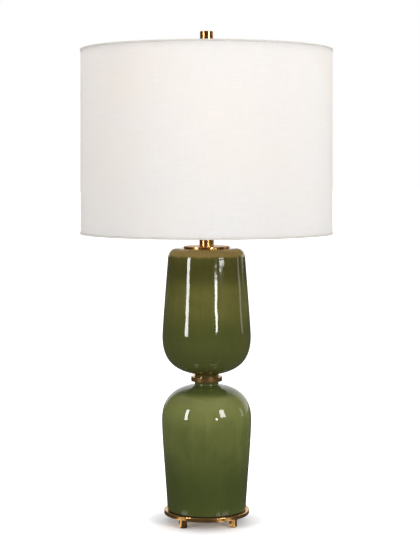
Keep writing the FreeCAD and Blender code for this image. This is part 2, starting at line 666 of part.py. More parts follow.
def harp_ferrule(side):
    """Sleeve that slides down over the lap and locks the harp to its saddle."""
    sleeve = ring(HARP_WIRE_R + SLIP_GAP, FERRULE_R, LUG_TOP, FERRULE_LENGTH, 0.4)
    sleeve.translate(FreeCAD.Vector(side * HARP_FOOT_X, 0, 0))
    return sleeve


# ---------------------------------------------------------------- shade
def shade_r(z):
    """Radius of the shade's outer face at a height."""
    return SHADE_BOTTOM_R - SHADE_TAPER * (z - SHADE_Z) / SHADE_HEIGHT


def shade_layer(depth, thickness, low, high):
    """A conical layer of the shade, depth inside its outer face."""
    return turned([(shade_r(low) - depth - thickness, low), (shade_r(low) - depth, low),
                   (shade_r(high) - depth, high), (shade_r(high) - depth - thickness, high)])


LAYER_LOW = SHADE_Z + TRIM_THICKNESS + GLUE_GAP
LAYER_HIGH = SHADE_TOP - TRIM_THICKNESS - GLUE_GAP
LINER_DEPTH = FABRIC_THICKNESS + GLUE_GAP
WIRE_DEPTH = LINER_DEPTH + LINER_THICKNESS + GLUE_GAP + SHADE_WIRE_R


def shade_fabric():
    return shade_layer(0, FABRIC_THICKNESS, LAYER_LOW, LAYER_HIGH)


def shade_liner():
    return shade_layer(LINER_DEPTH, LINER_THICKNESS, LAYER_LOW, LAYER_HIGH)


def wire_ring(z):
    return Part.makeTorus(shade_r(z) - WIRE_DEPTH, SHADE_WIRE_R, at(0, z))


def shade_top_ring():
    return wire_ring(LAYER_HIGH - SHADE_WIRE_R)


def shade_bottom_ring():
    return wire_ring(LAYER_LOW + SHADE_WIRE_R)


def shade_trim(rim, way):
    """Fabric strip folded over a rim: a short leg outside, the rim itself, and a long leg inside."""
    outer = TRIM_THICKNESS + GLUE_GAP
    inner = WIRE_DEPTH + SHADE_WIRE_R + GLUE_GAP

    def leg(depth, drop):
        z = rim - way * drop
        return (shade_r(z) - depth, z)

    corners = [leg(-outer, TRIM_OUTER_DROP), leg(-outer, 0), leg(inner + TRIM_THICKNESS, 0),
               leg(inner + TRIM_THICKNESS, TRIM_INNER_DROP), leg(inner, TRIM_INNER_DROP),
               leg(inner, TRIM_THICKNESS), leg(-GLUE_GAP, TRIM_THICKNESS), leg(-GLUE_GAP, TRIM_OUTER_DROP)]
    return turned(corners, {1: 0.9, 2: 0.9, 5: 0.4, 6: 0.3})


def shade_top_trim():
    """The upper trim, slit where the spider's arms pass to the ring under it."""
    trim = shade_trim(SHADE_TOP, 1)
    for arm in spider_rods(SLIP_GAP):
        trim = trim.cut(arm)
    return trim


def shade_bottom_trim():
    return shade_trim(SHADE_Z, -1)


def spider_hub():
    return ring(STUD_R + LOOSE_GAP, HUB_R, WASHER_TOP, HUB_THICKNESS, HUB_EDGE)


def spider_rods(gap):
    """Rods from the hub's rim up to the shade's top ring; gap widens them into their slits in the trim."""
    start = at(0, WASHER_TOP + HUB_THICKNESS / 2)
    end_z = LAYER_HIGH - SPIDER_ARM_R
    reach = shade_r(end_z) - WIRE_DEPTH - SHADE_WIRE_R - SPIDER_WELD_GAP
    heading = at(reach, end_z) - start
    rod_shape = Part.makeCylinder(SPIDER_ARM_R + gap, heading.Length + SPIDER_ARM_R, start, heading)
    trimmed = rod_shape.common(ring(HUB_R + SPIDER_WELD_GAP, reach, SHADE_Z, SHADE_HEIGHT))
    return around(trimmed, SPIDER_ARMS, 0, SPIDER_FIRST_ARM)


def spider_arms():
    return spider_rods(0)


def seat_washer():
    return ring(STUD_R + LOOSE_GAP, SEAT_WASHER_R, SEAT_Z, SEAT_WASHER_THICKNESS)


# ---------------------------------------------------------------- finial
def finial_base():
    """Threaded brass thimble that screws down on the stud and clamps the spider."""
    return turned([(STUD_HOLE_R, HUB_TOP), (FINIAL_FLANGE_R, HUB_TOP),
                   (FINIAL_FLANGE_R, HUB_TOP + FINIAL_FLANGE_THICKNESS),
                   (FINIAL_SHANK_R, HUB_TOP + FINIAL_FLANGE_THICKNESS), (FINIAL_SHANK_R, FINIAL_Z),
                   (STUD_HOLE_R, FINIAL_Z)], {1: 0.5, 2: 0.8, 3: 0.8})


def finial_knob():
    top = FINIAL_Z + FINIAL_HEIGHT
    return turned([(0, FINIAL_Z), (FINIAL_R, FINIAL_Z), (FINIAL_R, top), (0, top)],
                  {1: FINIAL_EDGE, 2: FINIAL_EDGE})


# ---------------------------------------------------------------- socket
def socket_cap():
    """Cup at the socket's foot, with the hub that screws onto the pipe."""
    inner_r = SOCKET_CAP_R - SHEET_BRASS
    shelf = SOCKET_Z + SOCKET_HUB_HEIGHT
    bend_z = SOCKET_Z + SOCKET_CAP_RISE
    rim = SOCKET_Z + SOCKET_CAP_HEIGHT
    return turned([(PIPE_R + SLIP_GAP, SOCKET_Z), (SOCKET_HUB_R, SOCKET_Z),
                   (SOCKET_HUB_R, shelf - SHEET_BRASS), (SOCKET_CAP_R, bend_z - SHEET_BRASS),
                   (SOCKET_CAP_R, rim), (inner_r, rim), (inner_r, bend_z),
                   (SOCKET_HUB_R - SHEET_BRASS, shelf), (PIPE_R + SLIP_GAP, shelf)],
                  {2: SOCKET_CAP_BEND / 2, 3: SOCKET_CAP_BEND, 6: SOCKET_CAP_BEND - SHEET_BRASS})


def spindle_window(shape):
    """Opens the front of a socket sleeve for the switch spindle."""
    return shape.cut(along_y(SPINDLE_WINDOW_R, -SOCKET_CAP_R - 1, SOCKET_CAP_R, SWITCH_Z))


def socket_shell():
    top = SHELL_Z + SOCKET_SHELL_HEIGHT
    inner_r = SOCKET_SHELL_R - SHEET_BRASS
    bead_r = SOCKET_SHELL_R + SHELL_BEAD
    neck = top - SHELL_BEAD_HEIGHT
    shell = turned([(inner_r, SHELL_Z), (SOCKET_SHELL_R, SHELL_Z), (SOCKET_SHELL_R, neck - SHELL_BEAD),
                    (bead_r, neck), (bead_r, top), (inner_r, top)], {4: SHELL_BEAD})
    return spindle_window(shell)


def socket_liner():
    height = SHELL_Z + SOCKET_SHELL_HEIGHT + LINER_PROUD - LINER_Z
    return spindle_window(ring(LINER_R - LINER_CARD, LINER_R, LINER_Z, height))


def socket_body():
    """Moulded insulating body: rotor cavity open at the back, spindle bearing in front."""
    flange_z = BODY_TOP - SOCKET_FLANGE_HEIGHT
    body = turned([(0, BODY_Z), (SOCKET_BODY_R, BODY_Z), (SOCKET_BODY_R, flange_z), (FLANGE_R, flange_z),
                   (FLANGE_R, BODY_TOP), (0, BODY_TOP)], {1: 0.5, 4: 0.4})
    body = body.cut(along_y(ROTOR_CAVITY_R, -ROTOR_LENGTH / 2 - LOOSE_GAP, 2 * SOCKET_BODY_R, SWITCH_Z))
    body = body.cut(along_y(SPINDLE_R + RUN_GAP, -SOCKET_BODY_R - 1, SOCKET_BODY_R, SWITCH_Z))
    for side in (-1, 1):
        flat = Part.makeBox(SOCKET_BODY_R, 2 * SOCKET_BODY_R, TERMINAL_FLAT_HEIGHT)
        flat.translate(FreeCAD.Vector(TERMINAL_FLAT if side > 0 else -TERMINAL_FLAT - SOCKET_BODY_R,
                                      -SOCKET_BODY_R, BODY_Z - 1))
        body = body.cut(flat)
        body = body.cut(terminal_screw(side, SLIP_GAP))
    return body


def terminal_screw(side, gap):
    """Screw on a terminal flat, beside the rotor cavity. Its shank runs into the moulding."""
    z = BODY_Z + TERMINAL_RISE
    heading = FreeCAD.Vector(side, 0, 0)
    shank = Part.makeCylinder(TERMINAL_SHANK_R + gap, TERMINAL_SHANK_LENGTH + gap,
                              FreeCAD.Vector(side * (TERMINAL_FLAT - TERMINAL_SHANK_LENGTH), 0, z), heading)
    head = Part.makeCylinder(TERMINAL_HEAD_R, TERMINAL_HEAD_THICKNESS,
                             FreeCAD.Vector(side * TERMINAL_FLAT, 0, z), heading)
    screw = shank.fuse(head)
    slot_x = side * (TERMINAL_FLAT + TERMINAL_HEAD_THICKNESS) - TERMINAL_SLOT_DEPTH
    slot_z = z - TERMINAL_SLOT_WIDTH / 2
    slot = Part.makeBox(2 * TERMINAL_SLOT_DEPTH, 2 * TERMINAL_HEAD_R, TERMINAL_SLOT_WIDTH,
                        FreeCAD.Vector(slot_x, -TERMINAL_HEAD_R, slot_z))
    return screw.cut(slot)


def terminal_screws():
    return [terminal_screw(side, 0) for side in (-1, 1)]


def screw_shell():
    """Brass shell that takes the bulb's cap, with an open floor for the centre contact."""
    inner_r = SCREW_SHELL_R - SCREW_SHELL_WALL
    top = BODY_TOP + SCREW_SHELL_HEIGHT
    floor = BODY_TOP + SCREW_SHELL_WALL
    hole_r = CONTACT_LENGTH / 2 + 1.5
    return turned([(hole_r, BODY_TOP), (SCREW_SHELL_R, BODY_TOP), (SCREW_SHELL_R, top), (inner_r, top),
                   (inner_r, floor), (hole_r, floor)], {1: 0.8, 4: 0.5})


def centre_contact():
    """Springy brass tongue under the bulb's tip."""
    half = CONTACT_LENGTH / 2
    top = BODY_TOP + CONTACT_RISE
    t = CONTACT_THICKNESS
    outline = [(-half, BODY_TOP), (0, BODY_TOP), (half - 1.5, top - t), (half, top - t), (half, top),
               (half - 1.8, top), (-0.4, BODY_TOP + t), (-half, BODY_TOP + t)]
    points = [FreeCAD.Vector(x, -CONTACT_WIDTH / 2, z) for x, z in outline]
    return Part.Face(Part.makePolygon(points + points[:1])).extrude(FreeCAD.Vector(0, CONTACT_WIDTH, 0))


# ---------------------------------------------------------------- switch
KNOB_FRONT = -SOCKET_CAP_R - KNOB_STANDOFF - KNOB_LENGTH


def switch_spindle():
    start = KNOB_FRONT + KNOB_LENGTH - KNOB_SOCKET_DEPTH
    return along_y(SPINDLE_R, start, ROTOR_LENGTH / 2 - 1 - start, SWITCH_Z)


def switch_rotor():
    """Insulating cam on the spindle, with a notch for each quarter turn."""
    rotor = along_y(ROTOR_R, -ROTOR_LENGTH / 2, ROTOR_LENGTH, SWITCH_Z)
    rotor = rotor.cut(along_y(SPINDLE_R + SLIP_GAP / 2, -ROTOR_LENGTH / 2 - 1, ROTOR_LENGTH, SWITCH_Z))
    for i in range(ROTOR_NOTCHES):
        angle = 2 * math.pi * i / ROTOR_NOTCHES
        notch = along_y(ROTOR_NOTCH_R, 0, ROTOR_LENGTH, SWITCH_Z)
        notch.translate(FreeCAD.Vector(ROTOR_R * math.cos(angle), 0, ROTOR_R * math.sin(angle)))
        rotor = rotor.cut(notch)
    return rotor


def switch_knob():
    knob = along_y(KNOB_R, KNOB_FRONT, KNOB_LENGTH, SWITCH_Z)
    knob = knob.makeFillet(0.8, [edge for edge in knob.Edges if edge.Curve.TypeId == "Part::GeomCircle"])
    for i in range(KNOB_FLUTES):
        angle = 2 * math.pi * i / KNOB_FLUTES
        flute = along_y(KNOB_FLUTE_R, KNOB_FRONT - 1, KNOB_LENGTH - 2, SWITCH_Z)
        reach = KNOB_R + KNOB_FLUTE_R / 3
        flute.translate(FreeCAD.Vector(reach * math.cos(angle), 0, reach * math.sin(angle)))
        knob = knob.cut(flute)
    hole_start = KNOB_FRONT + KNOB_LENGTH - KNOB_SOCKET_DEPTH
    return knob.cut(along_y(SPINDLE_R + SLIP_GAP / 2, hole_start, KNOB_SOCKET_DEPTH + 1, SWITCH_Z))


# ---------------------------------------------------------------- bulb
BULB_CAP_Z = BULB_Z + BULB_CAP_ABOVE_TIP
BULB_CAP_TOP = BULB_CAP_Z + BULB_CAP_HEIGHT
GLOBE_Z = BULB_Z + BULB_LENGTH - BULB_GLASS_R
STEM_Z = BULB_CAP_TOP - BULB_NECK_IN_CAP + 1.0


def bulb_contact():
    top = BULB_Z + BULB_TIP_HEIGHT
    return turned([(0, BULB_Z), (BULB_TIP_R, BULB_Z), (BULB_TIP_R, top), (0, top)], {1: 1.2})


def bulb_insulator():
    foot = BULB_Z + BULB_TIP_HEIGHT
    r = BULB_CAP_R - BULB_CAP_WALL - LOOSE_GAP
    top = foot + BULB_INSULATOR_HEIGHT
    return turned([(0, foot), (BULB_TIP_R + INSULATOR_LAND, foot), (r, BULB_CAP_Z - BULB_CAP_WALL),
                   (r, top), (0, top)], {1: 0.5, 2: 0.8})


def bulb_cap():
    return ring(BULB_CAP_R - BULB_CAP_WALL, BULB_CAP_R, BULB_CAP_Z, BULB_CAP_HEIGHT, 0.3)


def globe_edges(wall):
    """The globe's profile from the neck's foot to the crown, a wall thickness in."""
    foot = at(BULB_NECK_R - wall, BULB_CAP_TOP - BULB_NECK_IN_CAP)
    neck = at(BULB_NECK_R - wall, BULB_CAP_TOP)
    r = BULB_GLASS_R - wall
    low = math.radians(-BULB_FLARE_ANGLE)
    mid = (low + math.pi / 2) / 2
    centre = at(0, GLOBE_Z)
    meet = centre + at(math.cos(low), math.sin(low)) * r
    middle = centre + at(math.cos(mid), math.sin(mid)) * r
    crown = at(0, GLOBE_Z + r)
    flare = meet - at(-math.sin(low), math.cos(low)) * BULB_FLARE_PULL
    return [line(foot, neck), bezier(neck, neck + at(0, BULB_NECK_PULL), flare, meet),
            Part.Arc(meet, middle, crown).toShape()]


def bulb_glass():
    outer = globe_edges(0)
    inner = globe_edges(BULB_GLASS_WALL)
    foot_z = BULB_CAP_TOP - BULB_NECK_IN_CAP
    crown = GLOBE_Z + BULB_GLASS_R
    edges = outer + inner
    edges.append(line(at(BULB_NECK_R - BULB_GLASS_WALL, foot_z), at(BULB_NECK_R, foot_z)))
    edges.append(line(at(0, crown - BULB_GLASS_WALL), at(0, crown)))
    return revolve(Part.__sortEdges__(edges))


def bulb_stem():
    top = STEM_Z + STEM_HEIGHT
    return turned([(0, STEM_Z), (STEM_FOOT_R, STEM_Z), (STEM_WAIST_R, STEM_Z + STEM_FLARE_HEIGHT),
                   (STEM_WAIST_R, top), (0, top)], {1: 0.6, 2: 8.0, 3: 1.2})


def bulb_filament():
    """Lead wires and filament as one bent wire that stands on the stem."""
    foot = STEM_Z + STEM_HEIGHT
    points = [at(-LEAD_SPREAD, foot), at(-FILAMENT_SPAN, foot + FILAMENT_RISE),
              at(FILAMENT_SPAN, foot + FILAMENT_RISE), at(LEAD_SPREAD, foot)]
    wire = rod(rounded_chain(points, {1: LEAD_BEND_R, 2: LEAD_BEND_R}, False), FILAMENT_WIRE_R)
    clear = ring(0, BULB_GLASS_R, foot, FILAMENT_RISE + LEAD_BEND_R)
    return wire.common(clear)


# ---------------------------------------------------------------- writing the parts
NODES = {
    "foot_pads": foot_pads,
    "feet": feet,
    "foot_screws": foot_screws,
    "base_disc": base_disc,
    "base_washer": base_washer,
    "lock_washer": lock_washer,
    "base_nut": base_nut,
    "cord_bushing": cord_bushing,
    "threaded_pipe": threaded_pipe,
    "base_gasket": base_gasket,
    "lower_centring_plate": lower_centring_plate,
    "lower_jar": lower_jar,
    "neck_gaskets": neck_gaskets,
    "waist_ring": waist_ring,
    "upper_jar": upper_jar,
    "cap_disc": cap_disc,
    "neck_tube": neck_tube,
    "neck_top_ring": neck_top_ring,
    "neck_locknut": neck_locknut,
    "harp_saddle": harp_saddle,
    "harp_bow": harp_bow,
    "harp_stud": harp_stud,
    "harp_ferrule_left": lambda: harp_ferrule(-1),
    "harp_ferrule_right": lambda: harp_ferrule(1),
    "seat_washer": seat_washer,
    "spider_hub": spider_hub,
    "spider_arms": spider_arms,
    "shade_top_ring": shade_top_ring,
    "shade_bottom_ring": shade_bottom_ring,
    "shade_liner": shade_liner,
    "shade_fabric": shade_fabric,
    "shade_top_trim": shade_top_trim,
    "shade_bottom_trim": shade_bottom_trim,
    "finial_base": finial_base,
    "finial_knob": finial_knob,
    "socket_cap": socket_cap,
    "socket_shell": socket_shell,
    "socket_liner": socket_liner,
    "socket_body": socket_body,
    "terminal_screws": terminal_screws,
    "screw_shell": screw_shell,
    "centre_contact": centre_contact,
    "switch_spindle": switch_spindle,
    "switch_rotor": switch_rotor,
    "switch_knob": switch_knob,
    "bulb_contact": bulb_contact,
    "bulb_insulator": bulb_insulator,
    "bulb_cap": bulb_cap,
    "bulb_glass": bulb_glass,
    "bulb_stem": bulb_stem,
    "bulb_filament": bulb_filament,
}

os.makedirs("parts", exist_ok=True)
for name, make in NODES.items():
    made = make()
    shape = Part.makeCompound(made) if isinstance(made, list) else made
    shape.exportStep(os.path.join("parts", name + ".step"))
    volume = shape.Volume / 1000
    print(f"{name:22s} solids {len(shape.Solids)} valid {shape.isValid()} volume {volume:9.3f} cm3")
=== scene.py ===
"""Table lamp of two stacked glazed jars under a drum shade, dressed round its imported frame."""
import math

import bpy
from mathutils import Euler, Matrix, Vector


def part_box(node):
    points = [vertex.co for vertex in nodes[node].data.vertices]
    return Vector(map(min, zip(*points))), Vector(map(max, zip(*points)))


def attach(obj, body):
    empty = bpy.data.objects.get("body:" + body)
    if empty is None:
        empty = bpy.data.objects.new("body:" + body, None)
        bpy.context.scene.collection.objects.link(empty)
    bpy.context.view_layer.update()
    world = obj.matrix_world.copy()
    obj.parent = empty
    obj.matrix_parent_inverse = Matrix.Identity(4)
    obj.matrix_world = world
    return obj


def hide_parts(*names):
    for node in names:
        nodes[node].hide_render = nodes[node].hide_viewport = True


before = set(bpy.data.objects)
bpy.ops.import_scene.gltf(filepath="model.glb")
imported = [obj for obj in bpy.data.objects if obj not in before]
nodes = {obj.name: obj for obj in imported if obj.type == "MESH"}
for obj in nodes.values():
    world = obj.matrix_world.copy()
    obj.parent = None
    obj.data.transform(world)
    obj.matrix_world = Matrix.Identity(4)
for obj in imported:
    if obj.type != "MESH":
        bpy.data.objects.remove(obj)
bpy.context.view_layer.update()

MM = 0.001
WHITE = (1.0, 1.0, 1.0, 1.0)


def tone(red, green, blue):
    """Linear colour of a display colour whose parts run to 255."""
    def linear(part):
        part /= 255
        return part / 12.92 if part < 0.04045 else ((part + 0.055) / 1.055) ** 2.4
    return (linear(red), linear(green), linear(blue), 1.0)


# ---------------------------------------------------------------- shader helpers
class Graph:
    """A node tree under construction. Each method adds a node and returns an output of it."""

    def __init__(self, owner):
        owner.use_nodes = True
        self.tree = owner.node_tree
        self.tree.nodes.clear()

    def node(self, kind, inputs=(), **settings):
        made = self.tree.nodes.new("ShaderNode" + kind)
        for key, value in settings.items():
            setattr(made, key, value)
        for key, value in dict(inputs).items():
            socket = made.inputs[key]
            if isinstance(value, bpy.types.NodeSocket):
                self.tree.links.new(value, socket)
            else:
                socket.default_value = value
        return made

    def math(self, operation, first, second=0.0):
        return self.node("Math", {0: first, 1: second}, operation=operation).outputs[0]

    def fit(self, value, low, high, to_low=0.0, to_high=1.0):
        """value, which runs from low to high, eased into the other range."""
        made = self.node("MapRange", {"Value": value, "From Min": low, "From Max": high,
                                      "To Min": to_low, "To Max": to_high},
                         interpolation_type="SMOOTHSTEP")
        return made.outputs["Result"]

    def band(self, value, low, high, soft):
        """1 between low and high, and 0 outside, with soft edges."""
        rise = self.fit(value, low - soft, low + soft)
        fall = self.fit(value, high - soft, high + soft, 1.0, 0.0)
        return self.math("MULTIPLY", rise, fall)

    def mix(self, factor, first, second):
        made = self.node("Mix", {0: factor, 6: first, 7: second}, data_type="RGBA")
        return made.outputs[2]

    def lerp(self, factor, first, second):
        made = self.node("Mix", {0: factor, 2: first, 3: second}, data_type="FLOAT")
        return made.outputs[0]

    def place(self):
        """Where a point is on its own object, in metres."""
        return self.node("TexCoord").outputs["Object"]

    def split(self, vector):
        return self.node("SeparateXYZ", {0: vector}).outputs

    def join(self, x, y, z):
        return self.node("CombineXYZ", {0: x, 1: y, 2: z}).outputs[0]

    def stretch(self, vector, x, y, z):
        made = self.node("VectorMath", {0: vector, 1: (x, y, z)}, operation="MULTIPLY")
        return made.outputs[0]

    def noise(self, vector, scale, detail=3.0, rough=0.5, twist=0.0):
        made = self.node("TexNoise", {"Vector": vector, "Scale": scale, "Detail": detail,
                                      "Roughness": rough, "Distortion": twist})
        return made.outputs[0]

    def from_axis(self, x, y):
        """Distance from the Z axis."""
        return self.math("SQRT", self.math("ADD", self.math("MULTIPLY", x, x),
                                           self.math("MULTIPLY", y, y)))

    def round_noise(self, around, across):
        """Noise drawn out round the Z axis, with no seam. across is its fineness along the
        profile."""
        x, y, z = self.split(self.place())
        radius = self.from_axis(x, y)
        safe = self.math("MAXIMUM", radius, 0.5 * MM)
        turn = self.join(self.math("MULTIPLY", self.math("DIVIDE", x, safe), around),
                         self.math("MULTIPLY", self.math("DIVIDE", y, safe), around),
                         self.math("MULTIPLY", radius, across))
        made = self.node("TexNoise", {"Vector": turn, "W": self.math("MULTIPLY", z, across),
                                      "Scale": 1.0, "Detail": 3.0, "Roughness": 0.55},
                         noise_dimensions="4D")
        return made.outputs[0]

    def bump(self, height, distance, under=None):
        """Relief whose full depth is distance in metres, on top of the relief under it."""
        inputs = {"Height": height, "Distance": distance, "Strength": 1.0}
        if under is not None:
            inputs["Normal"] = under
        return self.node("Bump", inputs).outputs[0]

    def shader(self, **inputs):
        named = {key.replace("_", " "): value for key, value in inputs.items()}
        return self.node("BsdfPrincipled", named).outputs[0]

    def out(self, shader):
        self.node("OutputMaterial", {"Surface": shader})


def material(name):
    made = bpy.data.materials.new(name)
    return made, Graph(made)


def paint(finish, *names):
    """Gives CAD nodes a material."""
    for name in names:
        for holder in nodes[name].material_slots:
            holder.material = finish


# ---------------------------------------------------------------- materials
SPECK = tone(52, 46, 24)     # iron specks in the glaze
RAGGED = 6 * MM              # how far the runs carry the edges of the glaze's bands
THIN_SHARE = 0.8             # how much of the body shows the thin colour at an edge
GLAZE_IOR = 1.52
BULB_IOR = 1.45
STEM_IOR = 1.5
LINES_AROUND = 1.5           # turning lines: fineness round the axis and along the profile
LINES_ACROSS = 2600.0
PATINA = 0.5
LINING_PASS = 0.6            # share of light that the lining lets through
WANDER = 1.2 * MM            # how far the threads stray from straight


def make_glaze(name, body, deep, pale, thin, thin_from, thin_to, painted_bands):
    """Mottled olive glaze that runs down the jar, and breaks to tan where it is thin.
    painted_bands are (lowest z, highest z, softness, colour, strength) of bands laid over the glaze
    colour, mostly painted shade and painted light."""
    made, g = material(name)
    place = g.place()
    height = g.split(place)[2]
    clouds = g.noise(place, 22.0, 4.0, 0.55, 0.6)
    runs = g.noise(g.stretch(place, 95.0, 95.0, 9.0), 1.0, 4.0, 0.6, 0.4)
    grain = g.noise(place, 420.0, 3.0, 0.6)
    specks = g.noise(place, 900.0, 1.0, 0.4)
    colour = g.mix(g.fit(clouds, 0.32, 0.68), deep, body)
    colour = g.mix(g.fit(runs, 0.42, 0.78, 0.0, 0.38), colour, pale)
    colour = g.mix(g.fit(grain, 0.35, 0.7, 0.0, 0.35), colour, body)
    colour = g.mix(g.fit(specks, 0.70, 0.76, 0.0, 0.45), colour, SPECK)
    ragged = g.math("ADD", height, g.math("MULTIPLY", g.math("SUBTRACT", runs, 0.5), RAGGED))
    # Bands of painted shade and painted light over the glaze, as listed for each jar.
    for low, high, soft, band_colour, strength in painted_bands:
        share = g.math("MULTIPLY", g.band(ragged, low, high, soft), strength)
        colour = g.mix(share, colour, band_colour)
    edge = g.fit(ragged, thin_from, thin_to)
    colour = g.mix(g.math("MULTIPLY", edge, THIN_SHARE), colour, thin)
    ripple = g.noise(g.stretch(place, 30.0, 30.0, 12.0), 1.0, 2.0, 0.5)
    normal = g.bump(ripple, 0.6 * MM)
    normal = g.bump(g.noise(place, 240.0, 2.0), 0.01 * MM, under=normal)
    rough = g.fit(clouds, 0.3, 0.7, 0.03, 0.06)
    g.out(g.shader(Base_Color=colour, Roughness=rough, Normal=normal, IOR=GLAZE_IOR))
    return made


def make_metal(name, bright, dull, rough_low, rough_high):
    """Lathe-turned metal: fine lines round the axis, and a cloudy patina."""
    made, g = material(name)
    place = g.place()
    lines = g.round_noise(LINES_AROUND, LINES_ACROSS)
    clouds = g.noise(place, 55.0, 5.0, 0.62, 0.5)
    spots = g.noise(place, 310.0, 3.0, 0.6)
    colour = g.mix(g.fit(clouds, 0.38, 0.66, 0.0, PATINA), bright, dull)
    colour = g.mix(g.fit(spots, 0.62, 0.72, 0.0, PATINA / 2), colour, dull)
    colour = g.mix(g.fit(lines, 0.3, 0.75, 0.0, 0.25), colour, dull)
    rough = g.math("ADD", g.fit(clouds, 0.35, 0.7, rough_low, rough_high),
                   g.math("MULTIPLY", lines, 0.05))
    normal = g.bump(lines, 0.03 * MM)
    normal = g.bump(g.noise(place, 70.0, 2.0), 0.01 * MM, under=normal)
    g.out(g.shader(Base_Color=colour, Roughness=rough, Metallic=1.0, Normal=normal))
    return made


def make_wire(name, bright, dull, rough):
    """Drawn or plated wire with fine scratches and small dull patches."""
    made, g = material(name)
    place = g.place()
    patches = g.noise(place, 130.0, 4.0, 0.6)
    scratches = g.noise(g.stretch(place, 900.0, 900.0, 60.0), 1.0, 2.0, 0.6)
    colour = g.mix(g.fit(patches, 0.42, 0.68, 0.0, 0.6), bright, dull)
    colour = g.mix(g.fit(scratches, 0.55, 0.8, 0.0, 0.3), colour, dull)
    roughness = g.fit(patches, 0.35, 0.7, rough, rough + 0.16)
    g.out(g.shader(Base_Color=colour, Roughness=roughness, Metallic=1.0,
                   Normal=g.bump(scratches, 0.01 * MM)))
    return made


def make_moulded(name, colour_low, colour_high, rough, grain_scale=700.0, grain_depth=0.03 * MM):
    """Moulded plastic or rubber with a fine skin and slight mottling."""
    made, g = material(name)
    place = g.place()
    cloud = g.noise(place, 90.0, 3.0)
    grain = g.noise(place, grain_scale, 3.0, 0.6)
    dust = g.noise(place, 1500.0, 1.0)
    colour = g.mix(cloud, colour_low, colour_high)
    colour = g.mix(g.fit(dust, 0.66, 0.78, 0.0, 0.2), colour, tone(200, 198, 190))
    roughness = g.fit(grain, 0.3, 0.7, rough - 0.06, rough + 0.08)
    g.out(g.shader(Base_Color=colour, Roughness=roughness, Normal=g.bump(grain, grain_depth)))
    return made


def make_card():
    """Grey-brown insulating card with flecks and fibres."""
    made, g = material("fibre_card")
    place = g.place()
    fibres = g.noise(g.stretch(place, 700.0, 700.0, 120.0), 1.0, 4.0, 0.65, 1.0)
    flecks = g.noise(place, 1100.0, 2.0)
    colour = g.mix(g.fit(fibres, 0.3, 0.7), tone(142, 120, 92), tone(176, 154, 122))
    colour = g.mix(g.fit(flecks, 0.64, 0.74, 0.0, 0.7), colour, tone(96, 78, 58))
    g.out(g.shader(Base_Color=colour, Roughness=0.86, Normal=g.bump(fibres, 0.08 * MM)))
    return made


def weave_height(g, along, up, pitch):
    """Plain weave: warp and weft pass over each other by turns. along and up are in metres."""
    turn = 2 * math.pi / pitch
    warp = g.math("SINE", g.math("MULTIPLY", along, turn))
    weft = g.math("SINE", g.math("MULTIPLY", up, turn))
    check = g.math("MULTIPLY", g.math("SINE", g.math("MULTIPLY", along, turn / 2)),
                   g.math("SINE", g.math("MULTIPLY", up, turn / 2)))
    over = g.fit(check, -0.25, 0.25)
    return g.lerp(over, g.math("ABSOLUTE", warp), g.math("ABSOLUTE", weft))


def make_cloth(name, light, shaded, warm, pitch, pass_light, slub, depth):
    """Woven cloth laid out by its UV, in metres, with slubs both ways. It lets pass_light of the
    light through."""
    made, g = material(name)
    flat = g.node("TexCoord").outputs["UV"]
    wander = g.noise(flat, 60.0, 2.0)
    along, up, _ = g.split(flat)
    shifted = g.math("ADD", along, g.math("MULTIPLY", wander, WANDER))
    lifted = g.math("ADD", up, g.math("MULTIPLY", wander, WANDER))
    weave = weave_height(g, shifted, lifted, pitch)
    weft = g.noise(g.stretch(flat, 26.0, 1300.0, 1.0), 1.0, 3.0, 0.6)
    warp = g.noise(g.stretch(flat, 1300.0, 20.0, 1.0), 1.0, 3.0, 0.6)
    broad = g.noise(flat, 7.0, 3.0)
    threads = g.math("ADD", g.math("MULTIPLY", weft, 0.6), g.math("MULTIPLY", warp, 0.4))
    colour = g.mix(g.fit(threads, 0.36, 0.64), shaded, light)
    # The low parts of the weave lean to the shaded colour: painted shade.
    colour = g.mix(g.fit(weave, 0.0, 0.6, 0.15, 0.0), colour, shaded)
    colour = g.mix(g.fit(broad, 0.35, 0.7, 0.0, 0.5), colour, warm)
    height = g.math("ADD", weave, g.math("MULTIPLY", threads, 1.6 * slub))
    normal = g.bump(height, depth)
    face = g.shader(Base_Color=colour, Roughness=0.9, Sheen_Weight=0.08, Sheen_Roughness=0.5,
                    Specular_IOR_Level=0.2, Normal=normal)
    through = g.node("BsdfTranslucent", {"Color": colour, "Normal": normal}).outputs[0]
    g.out(g.node("MixShader", {0: pass_light, 1: face, 2: through}).outputs[0])
    return made


def make_lining():
    """Smooth pale lining with a faint pressed grain, behind the linen."""
    made, g = material("lining_film")
    place = g.place()
    grain = g.noise(place, 620.0, 3.0, 0.6)
    cloud = g.noise(place, 14.0, 3.0)
    colour = g.mix(cloud, tone(247, 244, 238), tone(240, 236, 229))
    colour = g.mix(g.fit(grain, 0.4, 0.7, 0.0, 0.25), colour, tone(228, 224, 216))
    normal = g.bump(grain, 0.03 * MM)
    face = g.shader(Base_Color=colour, Roughness=0.5, Normal=normal)
    through = g.node("BsdfTranslucent", {"Color": colour, "Normal": normal}).outputs[0]
    g.out(g.node("MixShader", {0: LINING_PASS, 1: face, 2: through}).outputs[0])
    return made


def make_bulb_glass():
    """Glass frosted on the inside, with a soft uneven coating."""
    made, g = material("frosted_glass")
    place = g.place()
    powder = g.noise(place, 380.0, 3.0, 0.6)
    cloud = g.noise(place, 40.0, 3.0)
    colour = g.mix(cloud, tone(250, 249, 245), tone(240, 239, 234))
    rough = g.fit(powder, 0.3, 0.7, 0.22, 0.34)
    g.out(g.shader(Base_Color=colour, Roughness=rough, Transmission_Weight=0.35, IOR=BULB_IOR,
                   Normal=g.bump(powder, 0.01 * MM)))
    return made


